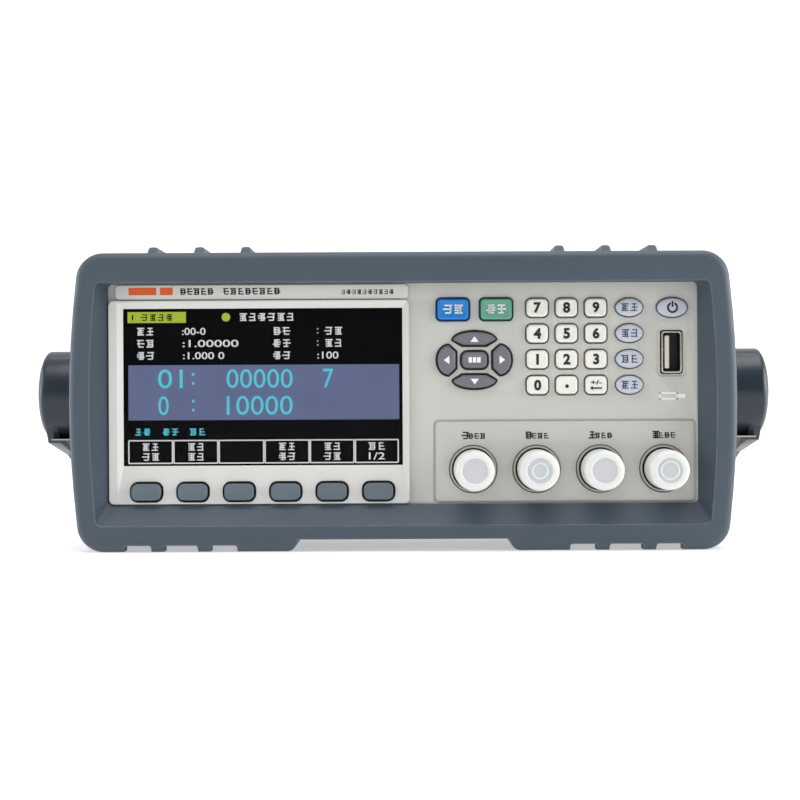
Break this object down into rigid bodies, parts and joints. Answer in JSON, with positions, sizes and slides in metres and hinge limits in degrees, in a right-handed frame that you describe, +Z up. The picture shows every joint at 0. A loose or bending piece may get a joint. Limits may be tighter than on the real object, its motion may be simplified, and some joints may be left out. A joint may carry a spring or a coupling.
{
  "type": "lcr meter",
  "caption": "Bench LCR meter with a colour display, sprung keys, capped test sockets, corner bumpers and a swing handle.",
  "frame": {"origin": "centre of the bounding box's footprint, on the surface that the meter stands on", "axes": "+X to the right seen from the front, -Y out of the front panel, +Z up"},
  "size_m": [0.2932, 0.367, 0.105],
  "materials": {
    "bumper_plastic": "fine moulded texture, satin",
    "hub_plastic": "satin",
    "panel_plastic": "fine moulded texture",
    "painted_sheet": "powder coat",
    "number_key": "satin",
    "soft_key": "satin",
    "option_key": "satin",
    "pad_key": "satin",
    "blue_key": "satin",
    "green_key": "satin",
    "dust_cap": "translucent satin",
    "nickel": "plated",
    "screen_glass": "clear gloss",
    "circuit_board": "solder mask",
    "black_plastic": "satin",
    "core_steel": "laminated"
  },
  "bodies": {
    "case": {"front_bumper": "bumper_plastic", "rear_bumper": "bumper_plastic", "case_cover": "painted_sheet", "case_base": "painted_sheet", "front_panel": "panel_plastic", "display_bezel": "panel_plastic", "name_strip": "panel_plastic", "screen_window": "screen_glass", "display_module": "black_plastic", "usb_port": "nickel", "key_board": "circuit_board", "main_board": "circuit_board", "transformer": "core_steel", "rear_panel": "painted_sheet", "power_inlet": "black_plastic", "fan_frame": "black_plastic", "pivot_boss_left": "hub_plastic", "pivot_boss_right": "hub_plastic", "bnc_jack_1": "nickel", "bnc_jack_2": "nickel", "bnc_jack_3": "nickel", "bnc_jack_4": "nickel"},
    "handle": {"handle_arm_left": "hub_plastic", "handle_arm_right": "hub_plastic", "handle_grip": "hub_plastic"},
    "fan_rotor": {"fan_rotor": "black_plastic"},
    "soft_key_1": {"soft_key_1": "soft_key"},
    "soft_key_2": {"soft_key_2": "soft_key"},
    "soft_key_3": {"soft_key_3": "soft_key"},
    "soft_key_4": {"soft_key_4": "soft_key"},
    "soft_key_5": {"soft_key_5": "soft_key"},
    "soft_key_6": {"soft_key_6": "soft_key"},
    "number_key_7": {"number_key_7": "number_key"},
    "number_key_8": {"number_key_8": "number_key"},
    "number_key_9": {"number_key_9": "number_key"},
    "number_key_4": {"number_key_4": "number_key"},
    "number_key_5": {"number_key_5": "number_key"},
    "number_key_6": {"number_key_6": "number_key"},
    "number_key_1": {"number_key_1": "number_key"},
    "number_key_2": {"number_key_2": "number_key"},
    "number_key_3": {"number_key_3": "number_key"},
    "number_key_0": {"number_key_0": "number_key"},
    "number_key_point": {"number_key_point": "number_key"},
    "number_key_sign": {"number_key_sign": "number_key"},
    "option_key_1": {"option_key_1": "option_key"},
    "option_key_2": {"option_key_2": "option_key"},
    "option_key_3": {"option_key_3": "option_key"},
    "option_key_4": {"option_key_4": "option_key"},
    "measure_key": {"measure_key": "blue_key"},
    "setup_key": {"setup_key": "green_key"},
    "pad_up": {"pad_up": "pad_key"},
    "pad_left": {"pad_left": "pad_key"},
    "pad_down": {"pad_down": "pad_key"},
    "pad_right": {"pad_right": "pad_key"},
    "pad_centre": {"pad_centre": "pad_key"},
    "power_button": {"power_button": "option_key"},
    "bnc_cap_1": {"bnc_cap_1": "dust_cap"},
    "bnc_cap_2": {"bnc_cap_2": "dust_cap"},
    "bnc_cap_3": {"bnc_cap_3": "dust_cap"},
    "bnc_cap_4": {"bnc_cap_4": "dust_cap"}
  },
  "joints": [
    {"name": "soft_key_1_press", "type": "slide", "parent": "case", "child": "soft_key_1", "axis": [0, 1, 0], "range_m": [0, 0.001], "stiffness_N_per_m": 800, "springref_m": -0.0005},
    {"name": "soft_key_2_press", "type": "slide", "parent": "case", "child": "soft_key_2", "axis": [0, 1, 0], "range_m": [0, 0.001], "stiffness_N_per_m": 800, "springref_m": -0.0005},
    {"name": "soft_key_3_press", "type": "slide", "parent": "case", "child": "soft_key_3", "axis": [0, 1, 0], "range_m": [0, 0.001], "stiffness_N_per_m": 800, "springref_m": -0.0005},
    {"name": "soft_key_4_press", "type": "slide", "parent": "case", "child": "soft_key_4", "axis": [0, 1, 0], "range_m": [0, 0.001], "stiffness_N_per_m": 800, "springref_m": -0.0005},
    {"name": "soft_key_5_press", "type": "slide", "parent": "case", "child": "soft_key_5", "axis": [0, 1, 0], "range_m": [0, 0.001], "stiffness_N_per_m": 800, "springref_m": -0.0005},
    {"name": "soft_key_6_press", "type": "slide", "parent": "case", "child": "soft_key_6", "axis": [0, 1, 0], "range_m": [0, 0.001], "stiffness_N_per_m": 800, "springref_m": -0.0005},
    {"name": "number_key_7_press", "type": "slide", "parent": "case", "child": "number_key_7", "axis": [0, 1, 0], "range_m": [0, 0.001], "stiffness_N_per_m": 800, "springref_m": -0.0005},
    {"name": "number_key_8_press", "type": "slide", "parent": "case", "child": "number_key_8", "axis": [0, 1, 0], "range_m": [0, 0.001], "stiffness_N_per_m": 800, "springref_m": -0.0005},
    {"name": "number_key_9_press", "type": "slide", "parent": "case", "child": "number_key_9", "axis": [0, 1, 0], "range_m": [0, 0.001], "stiffness_N_per_m": 800, "springref_m": -0.0005},
    {"name": "number_key_4_press", "type": "slide", "parent": "case", "child": "number_key_4", "axis": [0, 1, 0], "range_m": [0, 0.001], "stiffness_N_per_m": 800, "springref_m": -0.0005},
    {"name": "number_key_5_press", "type": "slide", "parent": "case", "child": "number_key_5", "axis": [0, 1, 0], "range_m": [0, 0.001], "stiffness_N_per_m": 800, "springref_m": -0.0005},
    {"name": "number_key_6_press", "type": "slide", "parent": "case", "child": "number_key_6", "axis": [0, 1, 0], "range_m": [0, 0.001], "stiffness_N_per_m": 800, "springref_m": -0.0005},
    {"name": "number_key_1_press", "type": "slide", "parent": "case", "child": "number_key_1", "axis": [0, 1, 0], "range_m": [0, 0.001], "stiffness_N_per_m": 800, "springref_m": -0.0005},
    {"name": "number_key_2_press", "type": "slide", "parent": "case", "child": "number_key_2", "axis": [0, 1, 0], "range_m": [0, 0.001], "stiffness_N_per_m": 800, "springref_m": -0.0005},
    {"name": "number_key_3_press", "type": "slide", "parent": "case", "child": "number_key_3", "axis": [0, 1, 0], "range_m": [0, 0.001], "stiffness_N_per_m": 800, "springref_m": -0.0005},
    {"name": "number_key_0_press", "type": "slide", "parent": "case", "child": "number_key_0", "axis": [0, 1, 0], "range_m": [0, 0.001], "stiffness_N_per_m": 800, "springref_m": -0.0005},
    {"name": "number_key_point_press", "type": "slide", "parent": "case", "child": "number_key_point", "axis": [0, 1, 0], "range_m": [0, 0.001], "stiffness_N_per_m": 800, "springref_m": -0.0005},
    {"name": "number_key_sign_press", "type": "slide", "parent": "case", "child": "number_key_sign", "axis": [0, 1, 0], "range_m": [0, 0.001], "stiffness_N_per_m": 800, "springref_m": -0.0005},
    {"name": "option_key_1_press", "type": "slide", "parent": "case", "child": "option_key_1", "axis": [0, 1, 0], "range_m": [0, 0.001], "stiffness_N_per_m": 800, "springref_m": -0.0005},
    {"name": "option_key_2_press", "type": "slide", "parent": "case", "child": "option_key_2", "axis": [0, 1, 0], "range_m": [0, 0.001], "stiffness_N_per_m": 800, "springref_m": -0.0005},
    {"name": "option_key_3_press", "type": "slide", "parent": "case", "child": "option_key_3", "axis": [0, 1, 0], "range_m": [0, 0.001], "stiffness_N_per_m": 800, "springref_m": -0.0005},
    {"name": "option_key_4_press", "type": "slide", "parent": "case", "child": "option_key_4", "axis": [0, 1, 0], "range_m": [0, 0.001], "stiffness_N_per_m": 800, "springref_m": -0.0005},
    {"name": "measure_key_press", "type": "slide", "parent": "case", "child": "measure_key", "axis": [0, 1, 0], "range_m": [0, 0.001], "stiffness_N_per_m": 800, "springref_m": -0.0005},
    {"name": "setup_key_press", "type": "slide", "parent": "case", "child": "setup_key", "axis": [0, 1, 0], "range_m": [0, 0.001], "stiffness_N_per_m": 800, "springref_m": -0.0005},
    {"name": "pad_up_press", "type": "slide", "parent": "case", "child": "pad_up", "axis": [0, 1, 0], "range_m": [0, 0.001], "stiffness_N_per_m": 800, "springref_m": -0.0005},
    {"name": "pad_left_press", "type": "slide", "parent": "case", "child": "pad_left", "axis": [0, 1, 0], "range_m": [0, 0.001], "stiffness_N_per_m": 800, "springref_m": -0.0005},
    {"name": "pad_down_press", "type": "slide", "parent": "case", "child": "pad_down", "axis": [0, 1, 0], "range_m": [0, 0.001], "stiffness_N_per_m": 800, "springref_m": -0.0005},
    {"name": "pad_right_press", "type": "slide", "parent": "case", "child": "pad_right", "axis": [0, 1, 0], "range_m": [0, 0.001], "stiffness_N_per_m": 800, "springref_m": -0.0005},
    {"name": "pad_centre_press", "type": "slide", "parent": "case", "child": "pad_centre", "axis": [0, 1, 0], "range_m": [0, 0.001], "stiffness_N_per_m": 800, "springref_m": -0.0005},
    {"name": "power_button_press", "type": "slide", "parent": "case", "child": "power_button", "axis": [0, 1, 0], "range_m": [0, 0.001], "stiffness_N_per_m": 800, "springref_m": -0.0005},
    {"name": "bnc_cap_1_pull", "type": "slide", "parent": "case", "child": "bnc_cap_1", "axis": [0, -1, 0], "range_m": [0, 0.02]},
    {"name": "bnc_cap_2_pull", "type": "slide", "parent": "case", "child": "bnc_cap_2", "axis": [0, -1, 0], "range_m": [0, 0.02]},
    {"name": "bnc_cap_3_pull", "type": "slide", "parent": "case", "child": "bnc_cap_3", "axis": [0, -1, 0], "range_m": [0, 0.02]},
    {"name": "bnc_cap_4_pull", "type": "slide", "parent": "case", "child": "bnc_cap_4", "axis": [0, -1, 0], "range_m": [0, 0.02]},
    {"name": "handle_swing", "type": "hinge", "parent": "case", "child": "handle", "pos_m": [0, -0.0675, 0.054], "axis": [-1, 0, 0], "range_deg": [0, 318]},
    {"name": "fan_spin", "type": "hinge", "parent": "case", "child": "fan_rotor", "pos_m": [0.062, 0.16, 0.054], "axis": [0, 1, 0], "continuous": true}
  ]
}
